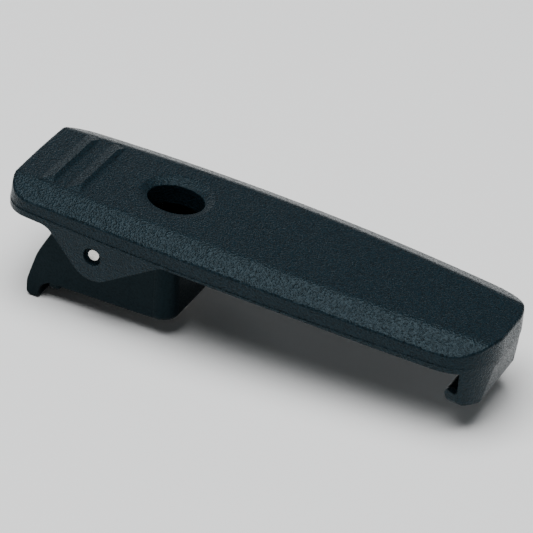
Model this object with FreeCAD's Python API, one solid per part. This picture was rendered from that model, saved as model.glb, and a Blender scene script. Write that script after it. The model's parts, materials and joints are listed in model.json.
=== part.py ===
import FreeCAD, Part
import math
import os

# Spring belt clip for the back of a hand-held radio. Millimetres, +Z away from the radio.
# Row frame: origin on the fixing screw's axis, in the base's flat mounting face. +X runs to the toe, +Y across.

# Hinge, in the row frame
pinBehindScrew = 8.2
pinHeight = 9.7
pinRadius = 1.1
pinEndRecess = 0.65
cheekBoreClearance = 0.05
armPitch = 3.3

# Arm, in its own frame: X from the thumb end, Z = 0 on top at mid-length
armLength = 85.4
armPinX = 17.5
armPinDepth = 8.05
armThickness = 4.95
armHalfWidth = (13.1, -0.66, -1.6)
thumbEndX = -0.4
thumbBow = 0.3
thumbLean = 0.04
partingDepth = 4.6
partingStep = 0.06
mouldDraft = 0.03
planEnds = (4.0, -17.0)
rimStations = (1.1, 29.8, 52.9)
rimSweep = 200.0
flatHalfWidth = (9.17, -0.75, -1.90)
crownDrop = 0.76
facetDrop = 2.1
thumbCornerRadius = 5.0
toeCornerRadius = 8.4
rimRound = 0.45
creaseRound = 2.5
cheekRadius = 4.5
cheekRearAngle = 45.0
cheekFrontAngle = 34.5
cheekRearBlend = 3.0
cheekFrontBlend = 2.0
counterboreRadius = 1.62
counterboreDepth = 0.95

# Hollow underside
roofDepth = 2.6
thumbWall = 2.4
cradleHalfWidth = 11.0
cradleEnd = 29.2
stopRibWidth = 2.0
toeCavityEnd = 78.5
toeCavityHalfWidths = (11.2, 8.9)
strengthRibs = (43.0, 55.0, 67.0)
strengthRibWidth = 1.2
ribHalfSpacing = 4.2

# Access hole and its dish
accessX = 25.33
accessRadii = (4.87, 3.92)
dishRadii = (6.3, 6.0)
dishDepth = 0.65
dishShift = -0.25
lipRound = 0.22
mouthRound = 1.0
collarWall = 1.1
collarDepth = 4.3

# Grip ribs
gripRidges = (6.25, 11.12)
gripRise = 0.42
gripBack = 1.75
gripFront = 0.75
gripHalfRidge = 6.2
gripHalfFoot = 8.0

# Toe hook
hookInnerX = (81.3, 81.5)
footTipX = 79.4
footTipDepth = 9.1
footRootDepth = 9.85
footBottomDepth = 11.95
hookTopHalfWidth = 10.4
hookFootHalfWidth = 9.9
hookCornerRadius = 1.3
footTipRounds = (0.4, 2.1)
toeEdgeRound = 0.35
toeLean = 1.05

# Base, measured from the pin's axis
baseHalfWidth = 10.8
cheekRecess = 0.35
cheekRecessEnd = 10.45
baseFrontX = 13.7
baseFrontTop = 2.2
baseTop = 3.1
topStep = ((11.3, 0.6), (8.6, 1.0))
rearTop = (-6.95, 0.8)
rearWall = ((-8.9, 0.2, 16.0), (-11.5, -4.5, 14.0))
rearWallFoot = (-10.2, 4.0)
frontCornerRadius = 2.8
rearCornerRadius = 0.8
baseWall = 1.8
baseFloor = 2.2
pocketRear = (-10.1, 1.0)
pocketFrontRound = 0.5
pocketBack = ((-1.2, 12.0, 0), (-8.4, -2.6, 12.0))
webHalfWidth = 1.0
webFoot = (-10.5, 0.6)
webTop = ((2.0, 2.6, 1.0), (-4.5, 2.6, 0))
webFrontRound = 0.5
bossRadius = 2.9

# Mounting hook and locating lug under the base
hookDepth = 3.45
hookRearX = -13.25
hookFrontX = -10.85
hookThroatRadius = 2.4
lugX = (-9.5, -7.4)
lugHalfWidth = 9.8
lugDepth = 1.35
lugRound = 0.5

# Torsion springs
wireDiameter = 1.2
coilMeanRadius = 1.95
coilStart = 1.35
coilTurns = 6.0
springGap = 0.06
baseLegTip = -8.6
armLegTip = -9.4

# Captive M3 fixing screw and its washers
screwRadius = 1.5
screwNeckRadius = 1.15
screwHoleRadius = 1.65
threadBelowFace = 3.0
headRadius = 2.8
headHeight = 2.3
recessWidth = 0.8
recessLength = 3.4
recessDepth = 1.5
flatWasherRadius = 3.0
flatWasherThick = 0.5
lockWasherRadius = 2.75
lockWasherThick = 0.7
lockWasherBore = 1.7
retainerRadius = 2.9
retainerThick = 0.6
retainerPocketRadius = 3.1

above = 30.0
proudShare = 0.25
Vec = FreeCAD.Vector
upward = Vec(0, 0, 1)


def quadratic(coefficients, x):
    """A width along the arm: middle value, slope and bow, with t from -1 at the thumb end to 1 at the toe."""
    t = 2 * x / armLength - 1
    middle, slope, bow = coefficients
    return middle + slope * t + bow * t * t


def crown(x):
    """How far the arm's long gentle crown has dropped at x."""
    t = 2 * x / armLength - 1
    return -crownDrop * t * t


def block(xs, ys, zs):
    return Part.makeBox(xs[1] - xs[0], ys[1] - ys[0], zs[1] - zs[0], Vec(xs[0], ys[0], zs[0]))


def rod(radius, length, start, direction=upward):
    return Part.makeCylinder(radius, length, start, direction)


def oval(x, radii, bottom, height):
    return prism(Part.Wire(Part.Ellipse(Vec(x, 0, bottom), *radii).toShape()), Vec(0, 0, height))


def roundedWire(corners):
    """A closed wire through corners, each (point, radius), with a tangent arc at every corner that has a radius."""
    points = [point for point, radius in corners]
    count = len(points)
    edges = []
    starts = []
    ends = []
    for i, (point, radius) in enumerate(corners):
        back = (points[i - 1] - point).normalize()
        ahead = (points[(i + 1) % count] - point).normalize()
        half = back.getAngle(ahead) / 2
        reach = radius / math.tan(half)
        starts.append(point + back * reach)
        ends.append(point + ahead * reach)
        if radius > 0:
            middle = (back + ahead).normalize()
            nearest = point + middle * (radius / math.sin(half) - radius)
            edges.append(Part.Arc(starts[i], nearest, ends[i]).toShape())
    for i in range(count):
        edges.append(Part.LineSegment(ends[i], starts[(i + 1) % count]).toShape())
    return Part.Wire(Part.__sortEdges__(edges))


def prism(wire, along):
    return Part.Face(wire).extrude(along)


def sidePrism(corners, halfWidth):
    """Extrudes an outline of (x, z, radius) corners in the XZ plane to both sides of the middle plane."""
    wire = roundedWire([(Vec(x, -halfWidth, z), radius) for x, z, radius in corners])
    return prism(wire, Vec(0, 2 * halfWidth, 0))


def edgesWhere(shape, test):
    return [edge for edge in shape.Edges if test(edge)]


def near(value, target, slack=0.02):
    return abs(value - target) < slack


def standsUpright(edge):
    box = edge.BoundBox
    return box.ZLength > 1 and box.XLength < 0.01 and box.YLength < 0.01


def upright(shape, x):
    """The straight vertical edges of a shape at one x."""
    return edgesWhere(shape, lambda edge: standsUpright(edge) and near(edge.BoundBox.XMin, x))


def toRow(shape):
    """Carries a shape from the arm's own frame to its closed place in the row frame."""
    moved = shape.copy()
    moved.translate(Vec(-armPinX, 0, armPinDepth))
    moved.rotate(Vec(0, 0, 0), Vec(0, 1, 0), armPitch)
    moved.translate(Vec(-pinBehindScrew, 0, pinHeight))
    return moved


def fromPin(shape):
    """Carries a shape measured from the pin's axis into the row frame."""
    moved = shape.copy()
    moved.translate(Vec(-pinBehindScrew, 0, pinHeight))
    return moved


def planOutline(z, sideInset, thumbInset, toeInset):
    """The arm's outline seen from above at one height: bowed sides, a rounded thumb end and a rounder toe."""
    ends = (thumbEndX + thumbBow + thumbInset, armLength - toeInset)
    corners = []
    for side in (-1, 1):
        xs = (ends[0], armLength / 2, ends[1])
        corners.append([Vec(x, side * (quadratic(armHalfWidth, x) - sideInset), z) for x in xs])
    nearSide, farSide = corners
    edges = [
        Part.Arc(*nearSide).toShape(),
        Part.LineSegment(nearSide[2], farSide[2]).toShape(),
        Part.Arc(*farSide).toShape(),
        Part.Arc(farSide[0], Vec(ends[0] - thumbBow, 0, z), nearSide[0]).toShape(),
    ]
    slab = prism(Part.Wire(Part.__sortEdges__(edges)), Vec(0, 0, 1.5))
    slab = slab.makeFillet(thumbCornerRadius, upright(slab, ends[0]))
    slab = slab.makeFillet(toeCornerRadius, upright(slab, ends[1]))
    return min(slab.Faces, key=lambda face: face.CenterOfMass.z).OuterWire


def armPlan():
    """The outline drawn in above and below the mould's parting line by its draft. The halves are a little out of step."""
    solids = []
    for end, step in zip(planEnds, (partingStep, -partingStep)):
        rise = abs(end + partingDepth)
        draw = mouldDraft * rise
        lean = max(thumbLean * (end + partingDepth), draw)
        wide = planOutline(-partingDepth, step, 0, -step)
        narrow = planOutline(end, step + draw, lean, draw - step)
        solids.append(Part.makeLoft([wide, narrow], True, True))
    return solids[0].fuse(solids[1])


def armRoof():
    """The crowned top with its two long facets, lofted through five cross-sections and open-ended below."""
    overhang = 4.0
    floor = -20.0
    sections = []
    for x in (-2.0, armLength * 0.25, armLength * 0.5, armLength * 0.75, armLength + 2):
        flat = quadratic(flatHalfWidth, x)
        side = quadratic(armHalfWidth, x)
        slope = facetDrop / (side - flat)
        reach = side + overhang
        low = crown(x) - facetDrop - slope * overhang
        top = crown(x)
        profile = [(-reach, floor), (-reach, low), (-flat, top), (flat, top), (reach, low), (reach, floor)]
        points = [Vec(x, y, z) for y, z in profile]
        sections.append(Part.makePolygon(points + points[:1]))
    return Part.makeLoft(sections, True, False)


def armSideOutline():
    """The arm from the side: a level rim, and a rounded cheek that hangs round the pin."""
    rear = math.radians(cheekRearAngle)
    front = math.radians(cheekFrontAngle)
    pinZ = -armPinDepth
    rimThumb = -armThickness + crown(rimStations[0])
    rimFront = -armThickness + crown(rimStations[1])
    rimToe = -armThickness + crown(armLength)
    rearX = armPinX - cheekRadius / math.sin(rear) - (rimThumb - pinZ) / math.tan(rear)
    frontX = armPinX + cheekRadius / math.sin(front) + (rimFront - pinZ) / math.tan(front)
    span = frontX - rearX
    depth = (span + (rimThumb - rimFront) / math.tan(rear)) / (1 / math.tan(rear) + 1 / math.tan(front))
    tipX = rearX + depth / math.tan(rear)
    tipZ = rimThumb - depth
    top = 6.0
    return [
        (-2.0, top, 0),
        (-2.0, rimThumb, 0),
        (rearX, rimThumb, cheekRearBlend),
        (tipX, tipZ, cheekRadius),
        (frontX, rimFront, cheekFrontBlend),
        (rimStations[2], -armThickness, rimSweep),
        (armLength + 2, rimToe, 0),
        (armLength + 2, top, 0),
    ]


def toeHook():
    """The hook at the toe: a leg as wide as the arm's end, and a foot that points back towards the hinge."""
    outline = [
        (hookInnerX[0], -armThickness + 1.5, 0),
        (hookInnerX[1], -footRootDepth, 0.5),
        (footTipX, -footTipDepth, footTipRounds[0]),
        (footTipX, -footBottomDepth, footTipRounds[1]),
        (armLength - toeLean, -footBottomDepth, toeEdgeRound),
        (armLength, -armThickness + 1.5, 0),
    ]
    side = sidePrism(outline, hookTopHalfWidth + 2)
    front = [
        (Vec(footTipX - 1, -hookTopHalfWidth - 0.5, -armThickness + 2), 0),
        (Vec(footTipX - 1, -hookFootHalfWidth, -footBottomDepth), hookCornerRadius),
        (Vec(footTipX - 1, hookFootHalfWidth, -footBottomDepth), hookCornerRadius),
        (Vec(footTipX - 1, hookTopHalfWidth + 0.5, -armThickness + 2), 0),
    ]
    return side.common(prism(roundedWire(front), Vec(10, 0, 0)))


def gripRib(ridgeX):
    """A sawtooth grip rib: a gentle back, a steep front and hipped ends."""
    ground = crown(ridgeX)
    buried = 0.5
    profile = [
        (ridgeX - gripBack, ground - buried, 0),
        (ridgeX - gripBack, ground, 0),
        (ridgeX, ground + gripRise, 0.12),
        (ridgeX + gripFront, ground, 0),
        (ridgeX + gripFront, ground - buried, 0),
    ]
    ends = [
        (Vec(ridgeX - 3, -gripHalfFoot, ground - buried), 0),
        (Vec(ridgeX - 3, -gripHalfFoot, ground), 0),
        (Vec(ridgeX - 3, -gripHalfRidge, ground + gripRise), 0.5),
        (Vec(ridgeX - 3, gripHalfRidge, ground + gripRise), 0.5),
        (Vec(ridgeX - 3, gripHalfFoot, ground), 0),
        (Vec(ridgeX - 3, gripHalfFoot, ground - buried), 0),
    ]
    return sidePrism(profile, gripHalfFoot).common(prism(roundedWire(ends), Vec(6, 0, 0)))


def accessCutter():
    """The oval screwdriver hole with a shallow dish round its mouth."""
    hole = oval(accessX, accessRadii, -collarDepth - 1, above)
    ground = crown(accessX)
    mouths = []
    for share in (0.0, 1.0 + proudShare):
        radii = [inner + (outer - inner) * share for inner, outer in zip(accessRadii, dishRadii)]
        ring = Part.Ellipse(Vec(accessX + dishShift * share, 0, ground + dishDepth * (share - 1)), *radii)
        mouths.append(Part.Wire(ring.toShape()))
    return hole.fuse(Part.makeLoft(mouths, True, True))


def softenDish(arm):
    """Rounds the dish's rim and the lip where it meets the hole."""
    ground = crown(accessX)

    def ring(edge, z, widths):
        box = edge.BoundBox
        middle = box.Center
        return near(middle.z, z, 0.1) and near(box.XLength, 2 * widths[0], 0.3) and near(box.YLength, 2 * widths[1], 0.3)

    arm = arm.makeFillet(lipRound, edgesWhere(arm, lambda edge: ring(edge, ground - dishDepth, accessRadii)))
    return arm.makeFillet(mouthRound, edgesWhere(arm, lambda edge: ring(edge, ground, dishRadii)))


def underside():
    """The hollows under the arm: a cradle for the base and springs, and a ribbed cavity towards the toe."""
    low = -above
    cradle = block((thumbWall, cradleEnd), (-cradleHalfWidth, cradleHalfWidth), (low, -roofDepth))
    cradle = cradle.makeFillet(3.0, upright(cradle, thumbWall))
    bay = block((cradleEnd - 1, cradleEnd + stopRibWidth), (-cradleHalfWidth, cradleHalfWidth), (low, -armThickness))
    start = cradleEnd + stopRibWidth
    wide, narrow = toeCavityHalfWidths
    plan = [
        (Vec(start, -wide, low), 0.8),
        (Vec(toeCavityEnd, -narrow, low), 3.5),
        (Vec(toeCavityEnd, narrow, low), 3.5),
        (Vec(start, wide, low), 0.8),
    ]
    cavity = prism(roundedWire(plan), Vec(0, 0, above - roofDepth - 0.25))
    halfRib = strengthRibWidth / 2
    ribTop = 0.0
    for side in (-1, 1):
        middle = side * ribHalfSpacing
        cavity = cavity.cut(block((start - 1, armLength), (middle - halfRib, middle + halfRib), (low, ribTop)))
    for x in strengthRibs:
        cavity = cavity.cut(block((x - halfRib, x + halfRib), (-above, above), (low, ribTop)))
    return cradle.fuse([bay, cavity])


def makeArm():
    plan = armPlan()
    side = sidePrism(armSideOutline(), cradleHalfWidth + 4)
    arm = plan.common(armRoof()).common(side)
    arm = softenTop(arm)
    arm = arm.cut(underside())
    collarRadii = [radius + collarWall for radius in accessRadii]
    arm = arm.fuse(oval(accessX, collarRadii, -collarDepth, collarDepth - roofDepth + 0.5))
    arm = arm.fuse(toeHook().common(armPlan()))
    for ridgeX in gripRidges:
        arm = arm.fuse(gripRib(ridgeX))
    arm = softenDish(arm.cut(accessCutter()))
    halfSpan = quadratic(armHalfWidth, armPinX)
    bore = rod(pinRadius + cheekBoreClearance, 4 * halfSpan, Vec(armPinX, -2 * halfSpan, -armPinDepth), Vec(0, 1, 0))
    arm = arm.cut(bore)
    for side in (-1, 1):
        floor = Vec(armPinX, side * (halfSpan - counterboreDepth), -armPinDepth)
        arm = arm.cut(rod(counterboreRadius, 5.0, floor, Vec(0, side, 0)))
    return toRow(arm.removeSplitter())


def softenTop(arm):
    """Rounds the two long creases, then the rim where facets and ends meet the side walls."""
    half = armLength / 2

    def crease(edge):
        box = edge.BoundBox
        return box.XLength > half and box.ZMax > -crownDrop - 0.1 and box.ZMin > -crownDrop - 0.3

    def rim(edge):
        box = edge.BoundBox
        return box.ZMin > -facetDrop - crownDrop - 0.6 and box.ZMax < 0.5 and not standsUpright(edge)

    arm = arm.makeFillet(creaseRound, edgesWhere(arm, crease))
    return arm.makeFillet(rimRound, edgesWhere(arm, rim))


def rearEdge(edge):
    """True for the side edges of the base's curved rear wall."""
    box = edge.BoundBox
    return near(abs(box.Center.y), baseHalfWidth) and box.XMax < -6.0 and box.ZLength > 3 and box.XMin < -9.0


def makeBase():
    """The base: a trough open to the arm, with a leaning rear wall that ends in the mounting hook."""
    floorZ = -pinHeight
    outline = [
        (hookRearX, floorZ - hookDepth, 1.0),
        (hookFrontX, floorZ - hookDepth + 0.1, 0.4),
        (hookFrontX, floorZ, hookThroatRadius),
        (baseFrontX, floorZ, 0),
        (baseFrontX, baseFrontTop, 0),
        (topStep[0][0], baseFrontTop, topStep[0][1]),
        (topStep[1][0], baseTop, topStep[1][1]),
        (rearTop[0], baseTop, rearTop[1]),
        *rearWall,
        (hookRearX, *rearWallFoot),
    ]
    body = sidePrism(outline, baseHalfWidth)
    body = body.makeFillet(frontCornerRadius, upright(body, baseFrontX))
    body = body.makeFillet(rearCornerRadius, edgesWhere(body, rearEdge))
    for side in (-1, 1):
        outer = sorted((side * baseHalfWidth * 2, side * (baseHalfWidth - cheekRecess)))
        body = body.cut(block((-above, cheekRecessEnd), outer, (-above, above)))
    pocketFloor = floorZ + baseFloor
    pocket = [
        (pocketRear[0], pocketFloor, pocketRear[1]),
        (baseFrontX - baseWall, pocketFloor, pocketFrontRound),
        (baseFrontX - baseWall, pocketBack[0][1], 0),
        *pocketBack,
    ]
    inner = sidePrism(pocket, baseHalfWidth - baseWall)
    webFloor = [(x, floorZ + 1, 0) for x in webFoot]
    web = sidePrism([*webFloor, (bossRadius, 0, webFrontRound), *webTop], webHalfWidth)
    inner = inner.cut(web)
    body = body.cut(inner)
    lug = block(lugX, (-lugHalfWidth, lugHalfWidth), (floorZ - lugDepth, floorZ + 0.5))
    lug = lug.makeFillet(lugRound, edgesWhere(lug, lambda edge: edge.BoundBox.ZMin < floorZ))
    body = body.fuse(lug)
    body = body.cut(rod(pinRadius, 4 * baseHalfWidth, Vec(0, -2 * baseHalfWidth, 0), Vec(0, 1, 0)))
    screwFoot = Vec(pinBehindScrew, 0, floorZ)
    body = body.cut(rod(screwHoleRadius, baseFloor * 2, screwFoot - upward * 0.5))
    body = body.cut(rod(retainerPocketRadius, retainerThick + 0.1, screwFoot))
    return fromPin(body.removeSplitter())


def makePin():
    halfLength = quadratic(armHalfWidth, armPinX) - pinEndRecess
    pin = rod(pinRadius, 2 * halfLength, Vec(0, -halfLength, 0), Vec(0, 1, 0))
    pin = pin.makeChamfer(0.15, edgesWhere(pin, lambda edge: near(abs(edge.BoundBox.Center.y), halfLength)))
    return fromPin(pin)


def makeSpring(side):
    """A torsion spring as the sleeve its coil fills and its two straight legs, one on the base, one on the arm."""
    wire = wireDiameter / 2
    length = coilTurns * wireDiameter
    inner = coilStart
    outer = coilStart + length
    start = Vec(0, side * inner, 0)
    sleeve = rod(coilMeanRadius + wire, length, start, Vec(0, side, 0))
    sleeve = sleeve.cut(rod(coilMeanRadius - wire, length, start, Vec(0, side, 0)))
    pitch = math.radians(armPitch)
    roofHeight = armPinDepth - roofDepth - wire - springGap
    baseTip = Vec(baseLegTip, 0, -pinHeight + baseFloor + wire + springGap)
    armTip = Vec(armLegTip, 0, roofHeight / math.cos(pitch) - armLegTip * math.tan(pitch))
    spring = sleeve
    for tip, place, turn in ((baseTip, outer - wire, 1), (armTip, inner + wire, -1)):
        reach = math.hypot(tip.x, tip.z)
        bearing = math.atan2(tip.z, tip.x) + turn * math.acos(coilMeanRadius / reach)
        root = Vec(coilMeanRadius * math.cos(bearing), side * place, coilMeanRadius * math.sin(bearing))
        leg = Vec(tip.x, side * place, tip.z) - root
        spring = spring.fuse(rod(wire * 0.98, leg.Length, root, leg))
    spring = spring.cut(rod(coilMeanRadius - wire, length, start, Vec(0, side, 0)))
    return fromPin(spring)


def washer(radius, bore, thickness, height):
    ring = rod(radius, thickness, Vec(0, 0, height))
    return ring.cut(rod(bore, thickness, Vec(0, 0, height)))


def makeScrew():
    """A cross-recess pan screw with a thin neck, so that the retaining washer can hold it in the base."""
    seat = baseFloor + flatWasherThick + lockWasherThick
    head = rod(headRadius, headHeight, Vec(0, 0, seat))
    head = head.makeFillet(1.1, edgesWhere(head, lambda edge: near(edge.BoundBox.ZMin, seat + headHeight)))
    for wide, deep in ((recessWidth, recessLength), (recessLength, recessWidth)):
        slot = block((-wide / 2, wide / 2), (-deep / 2, deep / 2), (seat + headHeight - recessDepth, seat + headHeight))
        head = head.cut(slot)
    neck = rod(screwNeckRadius, seat, Vec(0, 0, 0))
    thread = rod(screwRadius, threadBelowFace, Vec(0, 0, -threadBelowFace))
    thread = thread.makeChamfer(0.4, edgesWhere(thread, lambda edge: near(edge.BoundBox.ZMax, -threadBelowFace)))
    return head.fuse([neck, thread]).removeSplitter()


def makeLockWasher():
    """A spring washer: a flat ring cut through on one side."""
    height = baseFloor + flatWasherThick
    ring = washer(lockWasherRadius, lockWasherBore, lockWasherThick, height)
    return ring.cut(block((0, 4), (-0.25, 0.25), (height, height + lockWasherThick)))


nodes = {
    "clip_arm": makeArm(),
    "base_body": makeBase(),
    "hinge_pin": makePin(),
    "spring_left": makeSpring(-1),
    "spring_right": makeSpring(1),
    "fixing_screw": makeScrew(),
    "lock_washer": makeLockWasher(),
    "flat_washer": washer(flatWasherRadius, screwHoleRadius, flatWasherThick, baseFloor),
    "retaining_washer": washer(retainerRadius, screwNeckRadius, retainerThick, 0),
}

os.makedirs("parts", exist_ok=True)
for name, shape in nodes.items():
    solid = shape.Solids[0]
    solid.exportStep(f"parts/{name}.step")
    box = solid.BoundBox
    print(f"{name}: {len(shape.Solids)} solid, valid {shape.isValid()}, {solid.Volume:.1f} mm3")
    print(f"    x {box.XMin:.2f} to {box.XMax:.2f}, y {box.YMin:.2f} to {box.YMax:.2f}, z {box.ZMin:.2f} to {box.ZMax:.2f}")
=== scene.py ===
import json
import math
import bpy
import numpy as np
from mathutils import Matrix, Vector


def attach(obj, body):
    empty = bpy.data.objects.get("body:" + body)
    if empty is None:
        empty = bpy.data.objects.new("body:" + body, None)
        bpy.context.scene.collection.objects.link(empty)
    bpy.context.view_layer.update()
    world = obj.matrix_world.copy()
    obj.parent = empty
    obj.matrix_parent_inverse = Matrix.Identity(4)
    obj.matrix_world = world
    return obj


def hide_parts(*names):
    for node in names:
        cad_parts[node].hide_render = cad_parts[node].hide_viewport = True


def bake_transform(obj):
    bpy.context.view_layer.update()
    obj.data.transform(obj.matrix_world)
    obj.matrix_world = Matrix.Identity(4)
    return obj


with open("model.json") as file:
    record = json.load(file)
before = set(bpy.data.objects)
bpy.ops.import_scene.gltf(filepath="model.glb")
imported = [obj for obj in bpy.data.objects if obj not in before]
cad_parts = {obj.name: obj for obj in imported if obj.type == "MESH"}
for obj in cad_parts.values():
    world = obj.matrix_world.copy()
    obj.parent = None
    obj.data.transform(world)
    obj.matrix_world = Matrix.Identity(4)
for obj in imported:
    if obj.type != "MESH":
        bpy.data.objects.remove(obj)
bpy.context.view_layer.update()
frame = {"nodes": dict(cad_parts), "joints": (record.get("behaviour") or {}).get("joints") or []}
print("frame loaded")

# The pieces are worked out in millimetres, in the row frame, and made metres as they go into a mesh.
mm = 0.001
pinAxis = np.array(frame["joints"][0]["pos_m"]) / mm


# Shared helpers

def linear(hexColour):
    # One sRGB hex colour as the linear RGBA that shaders take.
    channels = [int(hexColour[i:i + 2], 16) / 255 for i in (1, 3, 5)]
    return tuple(c / 12.92 if c <= 0.04045 else ((c + 0.055) / 1.055) ** 2.4 for c in channels) + (1.0,)


def addNode(tree, kind, inputs, **settings):
    # Adds a node. Settings go on the node itself. Inputs go on its sockets, by name or number, and an input
    # that is another node's output is linked.
    node = tree.nodes.new(kind)
    for name, value in settings.items():
        setattr(node, name, value)
    for socket, value in inputs.items():
        if isinstance(value, bpy.types.NodeSocket):
            tree.links.new(value, node.inputs[socket])
        else:
            node.inputs[socket].default_value = value
    return node


def newMaterial(name, shader):
    # A material whose one principled shader has the given values.
    material = bpy.data.materials.new(name)
    material.use_nodes = True
    principled = material.node_tree.nodes["Principled BSDF"]
    for socket, value in shader.items():
        principled.inputs[socket].default_value = value
    return material


def newPiece(name, surface, material, body, nodes):
    # Makes a smooth mesh from a surface, which is points and faces, ties it to its body and hides the CAD
    # nodes it replaces. A piece that two bodies share has no body here.
    points, faces = surface
    mesh = bpy.data.meshes.new(name)
    mesh.from_pydata((points * mm).tolist(), [], faces)
    mesh.polygons.foreach_set("use_smooth", np.ones(len(mesh.polygons), bool))
    mesh.materials.append(material)
    piece = bpy.data.objects.new(name, mesh)
    bpy.context.scene.collection.objects.link(piece)
    if body:
        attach(piece, body)
    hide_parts(*nodes)
    return piece


def gridFaces(rows, columns, closeRows=False):
    # Quads over a grid of points whose columns close on themselves, and whose rows do too if asked.
    rowNumbers = np.arange(rows if closeRows else rows - 1)
    row, column = np.meshgrid(rowNumbers, np.arange(columns), indexing="ij")
    here = row * columns
    above = ((row + 1) % rows) * columns
    following = (column + 1) % columns
    quads = np.stack([here + column, here + following, above + following, above + column], -1)
    return quads.reshape(-1, 4).tolist()


def capFaces(rows, columns):
    # Triangles that close the first and last rows of a grid onto two points added after it.
    column = np.arange(columns)
    following = (column + 1) % columns
    firstMiddle = np.full(columns, rows * columns)
    lastRow = (rows - 1) * columns
    bottom = np.stack([following, column, firstMiddle], -1)
    top = np.stack([lastRow + column, lastRow + following, firstMiddle + 1], -1)
    return np.concatenate([bottom, top]).tolist()


def lathe(radii, heights, columns):
    # Turns a profile about Z: each point of it, at its radius and height, becomes one ring.
    angle = np.arange(columns) * 2 * np.pi / columns
    x = np.outer(radii, np.cos(angle))
    y = np.outer(radii, np.sin(angle))
    z = np.repeat(np.asarray(heights)[:, None], columns, 1)
    return np.stack([x, y, z], -1)


def roundedSection(width, height, corner, perCorner):
    # A rectangle with quarter-circle corners, as points round its middle, counter-clockwise.
    angle = np.linspace(0, np.pi / 2, perCorner)
    points = []
    for quarter, (xSide, ySide) in enumerate(((1, 1), (-1, 1), (-1, -1), (1, -1))):
        turned = angle + quarter * np.pi / 2
        points.append(np.stack([
            xSide * (width / 2 - corner) + corner * np.cos(turned),
            ySide * (height / 2 - corner) + corner * np.sin(turned),
        ], -1))
    return np.concatenate(points)


# Materials

# Grain, depth and edge are millimetres: one pit's width, the relief's height and the moulded edges' radius.
# The pits and peaks colours are the nylon's black, painted darker in the pits as shade and paler on the
# peaks as light.
plasticLook = {
    "arm": {
        "pitsWithPaintedShade": "#030607",
        "peaksWithPaintedLight": "#15232A",
        "gloss": "#C8E2EB",
        "roughness": 0.32,
        "specular": 0.125,
        "grain": 0.30,
        "depth": 0.075,
        "edge": 0.12,
    },
    "base": {
        "pitsWithPaintedShade": "#070E11",
        "peaksWithPaintedLight": "#0B1418",
        "gloss": "#A0D6E8",
        "roughness": 0.46,
        "specular": 0.09,
        "grain": 0.34,
        "depth": 0.02,
        "edge": 0.20,
    },
}
# What the two grains share. Ridge gives the relief at which a ridge's painted light and extra gloss begin
# and are complete.
grainLook = {
    "swell": 0.7,
    "swellDetail": 3.0,
    "swellRoughness": 0.6,
    "ridge": (0.55, 1.15),
    "pitsDuller": 0.14,
    "peaksGlossier": 0.10,
}
nylonIor = 1.53


def mouldedPlastic(name, look):
    # Black nylon from a spark-eroded mould: a satin surface broken by pits and bumps of one even size, that
    # glints where the tops of the bumps are glossier. The bump tops are painted paler as painted light, and
    # the pits darker as painted shade. The tint on its gloss gives a cool blue-black cast.
    material = newMaterial(name, {
        "IOR": nylonIor,
        "Specular IOR Level": look["specular"],
        "Specular Tint": linear(look["gloss"]),
    })
    tree = material.node_tree
    place = addNode(tree, "ShaderNodeTexCoord", {})
    # Coordinates are metres, so this many cells to the metre makes each as wide as the grain.
    cells = 1 / (look["grain"] * mm)
    pitsWithPaintedShade = addNode(tree, "ShaderNodeTexVoronoi", {
        "Vector": place.outputs["Object"],
        "Scale": cells,
    }, feature="F1")
    swell = addNode(tree, "ShaderNodeTexNoise", {
        "Vector": place.outputs["Object"],
        "Scale": grainLook["swell"] * cells,
        "Detail": grainLook["swellDetail"],
        "Roughness": grainLook["swellRoughness"],
    })
    relief = addNode(tree, "ShaderNodeMath", {
        0: pitsWithPaintedShade.outputs["Distance"],
        1: swell.outputs["Fac"],
    }, operation="ADD")
    # Every moulded edge is a little rounded, so it draws a thin line of light.
    softened = addNode(tree, "ShaderNodeBevel", {"Radius": look["edge"] * mm}, samples=4)
    bump = addNode(tree, "ShaderNodeBump", {
        "Height": relief.outputs[0],
        "Strength": 1.0,
        "Distance": look["depth"] * mm,
        "Normal": softened.outputs["Normal"],
    })
    # The distance from a cell's middle is greatest along the ridges between pits, which are glossier. The
    # ridges are painted paler as painted light, and the pits darker as painted shade.
    ridge = addNode(tree, "ShaderNodeMapRange", {
        "Value": relief.outputs[0],
        "From Min": grainLook["ridge"][0],
        "From Max": grainLook["ridge"][1],
    })
    gloss = addNode(tree, "ShaderNodeMapRange", {
        "Value": ridge.outputs["Result"],
        "To Min": look["roughness"] + grainLook["pitsDuller"],
        "To Max": look["roughness"] - grainLook["peaksGlossier"],
    })
    # Of a Mix node's sockets, 6 and 7 are its two colours and output 2 is the mixed colour.
    shade = addNode(tree, "ShaderNodeMix", {
        "Factor": ridge.outputs["Result"],
        6: linear(look["pitsWithPaintedShade"]),
        7: linear(look["peaksWithPaintedLight"]),
    }, data_type="RGBA")
    principled = tree.nodes["Principled BSDF"]
    # Base colour: painted shade in the pits and painted light on the ridges.
    tree.links.new(shade.outputs[2], principled.inputs["Base Color"])
    tree.links.new(gloss.outputs["Result"], principled.inputs["Roughness"])
    tree.links.new(bump.outputs["Normal"], principled.inputs["Normal"])
    return material


armPlastic = mouldedPlastic("moulded nylon, spark-eroded grain", plasticLook["arm"])
basePlastic = mouldedPlastic("moulded nylon, fine matt", plasticLook["base"])

# Streak is the size of a tool mark in millimetres. Real marks are finer than the render can show, so they
# are drawn coarser.
metalLook = {
    "ground stainless steel": {"colour": "#D8D6D2", "roughness": 0.28, "streak": 0.4},
    "drawn spring wire": {"colour": "#8E8B86", "roughness": 0.34, "streak": 0.5},
    "black zinc plate": {"colour": "#3A3A3D", "roughness": 0.38, "streak": 0.6},
    "bright zinc plate": {"colour": "#B4B8BC", "roughness": 0.36, "streak": 0.6},
}
marksLook = {
    "detail": 3.0,
    "glossier": 0.08,
    "duller": 0.10,
}


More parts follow.
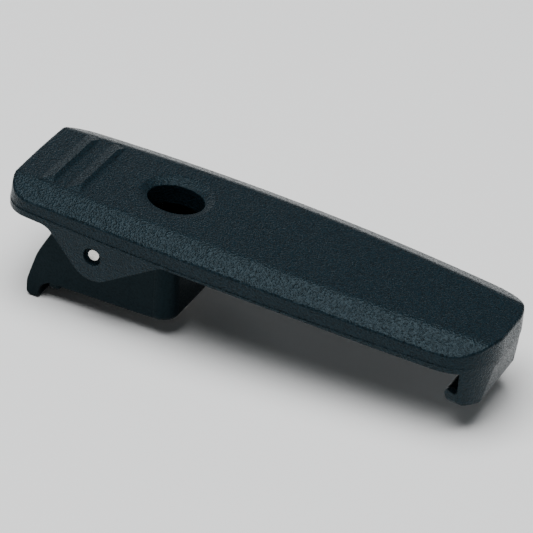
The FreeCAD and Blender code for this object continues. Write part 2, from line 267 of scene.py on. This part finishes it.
def bareMetal(name):
    # Bare or plated metal: soft-edged highlights that break up a little where tool or die marks cross them,
    # because the roughness wanders there.
    look = metalLook[name]
    material = newMaterial(name, {
        "Base Color": linear(look["colour"]),
        "Roughness": look["roughness"],
        "Metallic": 1.0,
    })
    tree = material.node_tree
    place = addNode(tree, "ShaderNodeTexCoord", {})
    marks = addNode(tree, "ShaderNodeTexNoise", {
        "Vector": place.outputs["Object"],
        "Scale": 1 / (look["streak"] * mm),
        "Detail": marksLook["detail"],
    })
    gloss = addNode(tree, "ShaderNodeMapRange", {
        "Value": marks.outputs["Fac"],
        "To Min": look["roughness"] - marksLook["glossier"],
        "To Max": look["roughness"] + marksLook["duller"],
    })
    tree.links.new(gloss.outputs["Result"], tree.nodes["Principled BSDF"].inputs["Roughness"])
    return material


pinSteel = bareMetal("ground stainless steel")  # the brightest metal, a clean glint in the cheek's bore
springSteel = bareMetal("drawn spring wire")  # greyer, with one long highlight along each turn
screwSteel = bareMetal("black zinc plate")  # dark but metallic, so the cross recess still catches light
washerSteel = bareMetal("bright zinc plate")  # pale, slightly blue and hazy

# Undyed nylon lets a little light into it, so it looks warm and faintly waxy.
washerNylon = newMaterial("natural nylon", {
    "Base Color": linear("#D8D2C2"),
    "Roughness": 0.5,
    "IOR": nylonIor,
    "Subsurface Weight": 0.15,
    "Subsurface Radius": (0.4 * mm, 0.35 * mm, 0.3 * mm),
})
print("materials made")


# Moulded bodies, shown as packed

for nodeName, material in (("clip_arm", armPlastic), ("base_body", basePlastic)):
    shown = frame["nodes"][nodeName]
    shown.data.materials.clear()
    shown.data.materials.append(material)
print("moulded bodies dressed")


# Hinge pin

pinLook = {
    "radius": 1.1,
    "halfLength": 12.28,
    "chamfer": 0.15,
    "ringPitch": 0.11,
    "ringDepth": 0.012,
    "facePoints": 56,
    "sides": 72,
}


def makePin():
    # A turned rod along Y. Its ends carry the fine rings a facing tool leaves: the end's height there is a
    # cosine of the distance from the middle.
    radius = pinLook["radius"]
    half = pinLook["halfLength"]
    shoulder = half - pinLook["chamfer"]
    innermost = 0.012
    shoulderWidth = 0.05
    face = np.linspace(innermost, radius - pinLook["chamfer"], pinLook["facePoints"])
    rings = half - pinLook["ringDepth"] * (1 + np.cos(2 * np.pi * face / pinLook["ringPitch"])) / 2
    side = [shoulder, shoulder - shoulderWidth, 0.0]
    radii = np.concatenate([face, np.full(len(side), radius)])
    heights = np.concatenate([rings, side])
    # The other half is the same profile, turned end for end.
    radii = np.concatenate([radii, radii[-2::-1]])
    heights = np.concatenate([heights, -heights[-2::-1]])
    grid = lathe(radii[::-1], heights[::-1], pinLook["sides"])
    points = np.concatenate([grid.reshape(-1, 3), [[0, 0, -half], [0, 0, half]]])
    # Lays the Z axis along Y without mirroring.
    points = points[:, [1, 2, 0]] + pinAxis
    return points, gridFaces(len(radii), pinLook["sides"]) + capFaces(len(radii), pinLook["sides"])


newPiece("pin_turned", makePin(), pinSteel, "base", ["hinge_pin"])
print("pin made")


# Torsion springs

# Places in Y are distances from the middle. The tips are X and Z from the pin's axis. blendY holds two
# places in Y along the coil.
springLook = {
    "wire": 1.2,
    "coilRadius": 1.95,
    "innerY": 1.95,
    "outerY": 7.95,
    "fullTurns": 4,
    "baseTip": (-8.6, -6.84),
    "armTip": (-9.4, 5.34),
    "blendY": (7.3, 2.6),
    "endEasing": 0.06,
    "tipChamfer": 0.12,
    "sides": 20,
    "coilPoints": 260,
    "legPoints": 14,
}


def makeSpring(side):
    # Round wire swept along two straight legs joined by a helix about the pin: the helix turns evenly at
    # one radius while it moves along Y. Each leg leaves the helix along its tangent.
    radius = springLook["coilRadius"]
    tips = (springLook["baseTip"], springLook["armTip"])
    startAngle, endAngle = (
        math.atan2(tip[1], tip[0]) + sense * math.acos(radius / math.hypot(*tip))
        for tip, sense in zip(tips, (1, -1))
    )
    sweepAngle = (endAngle - startAngle) % (2 * math.pi) + 2 * math.pi * springLook["fullTurns"]
    share = np.linspace(0, 1, springLook["coilPoints"])
    angle = startAngle + sweepAngle * share
    # The turns lie a little closer together at the coil's ends.
    eased = share - np.sin(2 * np.pi * share) / (2 * np.pi) * springLook["endEasing"]
    y = springLook["outerY"] + (springLook["innerY"] - springLook["outerY"]) * eased
    coil = np.stack([radius * np.cos(angle), side * y, radius * np.sin(angle)], -1)
    # A leg's last point stops short of the helix, so that no two points of the path meet.
    legEnd = 0.97
    legs = []
    for tip, coilEnd in zip(tips, coil[[0, -1]]):
        far = np.array([tip[0], coilEnd[1], tip[1]])
        legs.append(far + (coilEnd - far) * np.linspace(0, legEnd, springLook["legPoints"])[:, None])
    path = np.concatenate([legs[0], coil, legs[1][::-1]])
    tangent = np.gradient(path, axis=0)
    tangent /= np.linalg.norm(tangent, axis=1)[:, None]
    # The section's first direction is square to the path and to Y, so the section never twists along it.
    across = np.cross(tangent, np.array([0.0, 1.0, 0.0]))
    across /= np.linalg.norm(across, axis=1)[:, None]
    beside = np.cross(tangent, across)
    sides = springLook["sides"]
    around = np.arange(sides) * 2 * np.pi / sides
    # The cut ends have a small chamfer.
    wireRadius = np.full(len(path), springLook["wire"] / 2)
    wireRadius[[0, -1]] -= springLook["tipChamfer"]
    ring = across[:, None] * np.cos(around)[:, None] + beside[:, None] * np.sin(around)[:, None]
    grid = path[:, None] + ring * wireRadius[:, None, None]
    points = np.concatenate([grid.reshape(-1, 3), path[[0, -1]]]) + pinAxis
    return points, gridFaces(len(path), sides) + capFaces(len(path), sides)


for springName, side in (("spring_left", -1), ("spring_right", 1)):
    surface = makeSpring(side)
    spring = newPiece(springName + "_coil", surface, springSteel, None, [springName])
    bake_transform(spring)
print("springs made")


# Fixing screw

screwLook = {
    "threadRadius": 1.5,
    "threadPitch": 0.5,
    "threadDepth": 0.27,
    "threadBottom": -3.0,
    "tipRadius": 1.05,
    "tipLength": 0.35,
    "neckRadius": 1.15,
    "seat": 3.4,
    "headRadius": 2.8,
    "headHeight": 2.3,
    "headRound": 1.1,
    "headChamfer": 0.1,
    "recessHalfWidth": 0.42,
    "recessHalfLength": 1.7,
    "recessDepth": 1.4,
    "recessWall": 0.22,
    "sides": 144,
    "pointsPerPitch": 12,
    "roundPoints": 12,
    "topPoints": 84,
}


def makeScrew():
    # A turned profile from the tip to the head, with two changes to it. The thread is a triangle wave of
    # the angle and the height together. The recess lowers the head's top wherever a point lies in a cross.
    look = screwLook
    sides = look["sides"]
    low = look["threadBottom"]
    seat = look["seat"]
    top = seat + look["headHeight"]
    headRadius = look["headRadius"]
    roundRoot = headRadius - look["headRound"]
    threadEnd = -0.05
    innermost = 0.02
    thread = np.arange(low + look["tipLength"], threadEnd, look["threadPitch"] / look["pointsPerPitch"])
    bend = np.linspace(0, np.pi / 2, look["roundPoints"])
    crown = np.linspace(roundRoot, innermost, look["topPoints"])
    radii = np.concatenate([
        [look["tipRadius"]],
        np.full(len(thread), look["threadRadius"]),
        [look["neckRadius"], look["neckRadius"], headRadius - look["headChamfer"], headRadius],
        roundRoot + look["headRound"] * np.cos(bend),
        crown,
    ])
    heights = np.concatenate([
        [low],
        thread,
        [0.0, seat, seat, seat + look["headChamfer"]],
        top - look["headRound"] + look["headRound"] * np.sin(bend),
        np.full(len(crown), top),
    ])
    grid = lathe(radii, heights, sides)
    # Only the middle half of the wave cuts deeper as it rises, so the thread's crests and roots are flat.
    turnShare = np.arange(sides) / sides
    phase = (thread[:, None] / look["threadPitch"] - turnShare) % 1
    wave = 1 - np.abs(2 * phase - 1)
    cut = look["threadDepth"] * np.clip(2 * wave - 0.5, 0, 1)
    grid[1:1 + len(thread), :, :2] *= (1 - cut / look["threadRadius"])[..., None]
    # A point lies as far inside the cross as it lies inside one of its two bars, whichever is more.
    crownRows = grid[-len(crown):]
    x, y = np.abs(crownRows[..., 0]), np.abs(crownRows[..., 1])
    wide, deep = look["recessHalfWidth"], look["recessHalfLength"]
    inside = np.maximum(np.minimum(wide - x, deep - y), np.minimum(deep - x, wide - y))
    crownRows[..., 2] -= look["recessDepth"] * np.clip(inside / look["recessWall"], 0, 1)
    ends = [[0, 0, low], [0, 0, top - look["recessDepth"]]]
    points = np.concatenate([grid.reshape(-1, 3), ends])
    return points, gridFaces(len(radii), sides) + capFaces(len(radii), sides)


newPiece("fixing_screw_threaded", makeScrew(), screwSteel, "base", ["fixing_screw"])
print("screw made")


# Washers

# A gap, in degrees, makes a split spring washer.
washerLook = {
    "flat_washer": {"radii": (1.65, 3.0), "bottom": 2.2, "thick": 0.5, "gap": 0},
    "retaining_washer": {"radii": (1.15, 2.9), "bottom": 0.0, "thick": 0.6, "gap": 0},
    "lock_washer": {"radii": (1.7, 2.75), "bottom": 2.7, "thick": 0.7, "gap": 12},
}
washerEdge = {"corner": 0.08, "cornerPoints": 4, "steps": 120}


def makeWasher(look):
    # A rounded rectangular section carried round Z. A split one is closed at both cut ends.
    inner, outer = look["radii"]
    gap = look["gap"]
    steps = washerEdge["steps"]
    section = roundedSection(outer - inner, look["thick"], washerEdge["corner"], washerEdge["cornerPoints"])
    if gap:
        angle = np.radians(np.linspace(gap / 2, 360 - gap / 2, steps))
    else:
        angle = np.arange(steps) * 2 * np.pi / steps
    radius = (inner + outer) / 2 + section[:, 0]
    height = look["bottom"] + look["thick"] / 2 + section[:, 1]
    grid = np.stack([
        np.outer(np.cos(angle), radius),
        np.outer(np.sin(angle), radius),
        np.repeat(height[None], steps, 0),
    ], -1)
    points = grid.reshape(-1, 3)
    faces = gridFaces(steps, len(section), closeRows=not gap)
    if gap:
        points = np.concatenate([points, grid[[0, -1]].mean(1)])
        faces += capFaces(steps, len(section))
    # The rings run the other way round from a lathe's, so each face is turned over to point outward.
    return points, [face[::-1] for face in faces]


for washerName, material, slot in (
    ("flat_washer", washerSteel, "washer_steel"),
    ("retaining_washer", washerNylon, "washer_nylon"),
    ("lock_washer", washerSteel, "washer_steel"),
):
    newPiece(washerName + "_ring", makeWasher(washerLook[washerName]), material, "base", [washerName])
print("washers made")


# Floor

floorLook = {
    "colour": "#FAFBFB",
    "roughness": 0.9,
    "height": -3.5,
    "halfSize": 3000.0,
}
# White seamless paper, which scatters light evenly and has almost no gloss.
paper = newMaterial("white seamless paper", {
    "Base Color": linear(floorLook["colour"]),
    "Roughness": floorLook["roughness"],
})
half = floorLook["halfSize"]
height = floorLook["height"]
corners = [(-half, -half, height), (half, -half, height), (half, half, height), (-half, half, height)]
floorMesh = bpy.data.meshes.new("floor")
floorMesh.from_pydata((np.array(corners) * mm).tolist(), [], [(0, 1, 2, 3)])
floorMesh.materials.append(paper)
floor = bpy.data.objects.new("floor", floorMesh)
bpy.context.scene.collection.objects.link(floor)


# Lights

# Places and sizes are metres. The overhead panel lights the top and gleams along the near facet, and the
# other two only lift the ends.
lightLook = {
    "overhead": {"place": (-0.05, -0.12, 1.05), "size": (0.85, 0.95), "watts": 19.0},
    "thumb side": {"place": (-0.9, 0.95, 0.42), "size": (0.7, 0.4), "watts": 1.0},
    "toe side": {"place": (1.3, 0.3, 0.30), "size": (0.8, 0.5), "watts": 0.5},
}
lightAim = Vector((0.02, 0.0, 0.0))
for lightName, look in lightLook.items():
    light = bpy.data.lights.new(lightName, "AREA")
    light.shape = "RECTANGLE"
    light.size, light.size_y = look["size"]
    light.energy = look["watts"]
    lamp = bpy.data.objects.new(lightName, light)
    bpy.context.scene.collection.objects.link(lamp)
    lamp.location = look["place"]
    lamp.rotation_euler = (Vector(look["place"]) - lightAim).to_track_quat("Z", "Y").to_euler()

# The room: pale near the horizon, where the paper sweep stands, and dim above it. The sweep's edge and top
# are sines of their elevations, as the coordinate's Z is.
worldLook = {
    "low": "#FFFFFF",
    "high": "#3C4346",
    "sweepTop": 0.40,
    "sweepEdge": 0.10,
    "strength": 0.5,
}
world = bpy.data.worlds.new("studio")
world.use_nodes = True
sky = world.node_tree
direction = addNode(sky, "ShaderNodeTexCoord", {})
split = addNode(sky, "ShaderNodeSeparateXYZ", {"Vector": direction.outputs["Generated"]})
climb = addNode(sky, "ShaderNodeMapRange", {
    "Value": split.outputs["Z"],
    "From Min": worldLook["sweepEdge"],
    "From Max": worldLook["sweepTop"],
}, interpolation_type="SMOOTHSTEP")
wash = addNode(sky, "ShaderNodeMix", {
    "Factor": climb.outputs["Result"],
    6: linear(worldLook["low"]),
    7: linear(worldLook["high"]),
}, data_type="RGBA")
background = sky.nodes["Background"]
sky.links.new(wash.outputs[2], background.inputs["Color"])
background.inputs["Strength"].default_value = worldLook["strength"]
bpy.context.scene.world = world


# Camera

# Angles are degrees, aim and distance metres. Azimuth turns the camera from the -Y side towards the toe.
cameraLook = {
    "azimuth": 24.342,
    "elevation": 33.3636,
    "roll": 4.0717,
    "distance": 0.590132,
    "aim": (0.01736265, -0.00103038, 0.01011),
    "lens": 247.629,
    "sensor": 36.0,
}
azimuth, elevation, roll = (math.radians(cameraLook[key]) for key in ("azimuth", "elevation", "roll"))
back = Vector((
    math.sin(azimuth) * math.cos(elevation),
    -math.cos(azimuth) * math.cos(elevation),
    math.sin(elevation),
))
level = Vector((math.cos(azimuth), math.sin(azimuth), 0.0))
upright = back.cross(level)
right = level * math.cos(roll) + upright * math.sin(roll)
top = upright * math.cos(roll) - level * math.sin(roll)
pose = Matrix((right, top, back)).transposed().to_4x4()
pose.translation = Vector(cameraLook["aim"]) + back * cameraLook["distance"]
camera = bpy.data.objects.new("camera", bpy.data.cameras.new("camera"))
camera.data.lens = cameraLook["lens"]
camera.data.sensor_width = cameraLook["sensor"]
camera.matrix_world = pose
bpy.context.scene.collection.objects.link(camera)
bpy.context.scene.camera = camera
print("stage, lights and camera set")
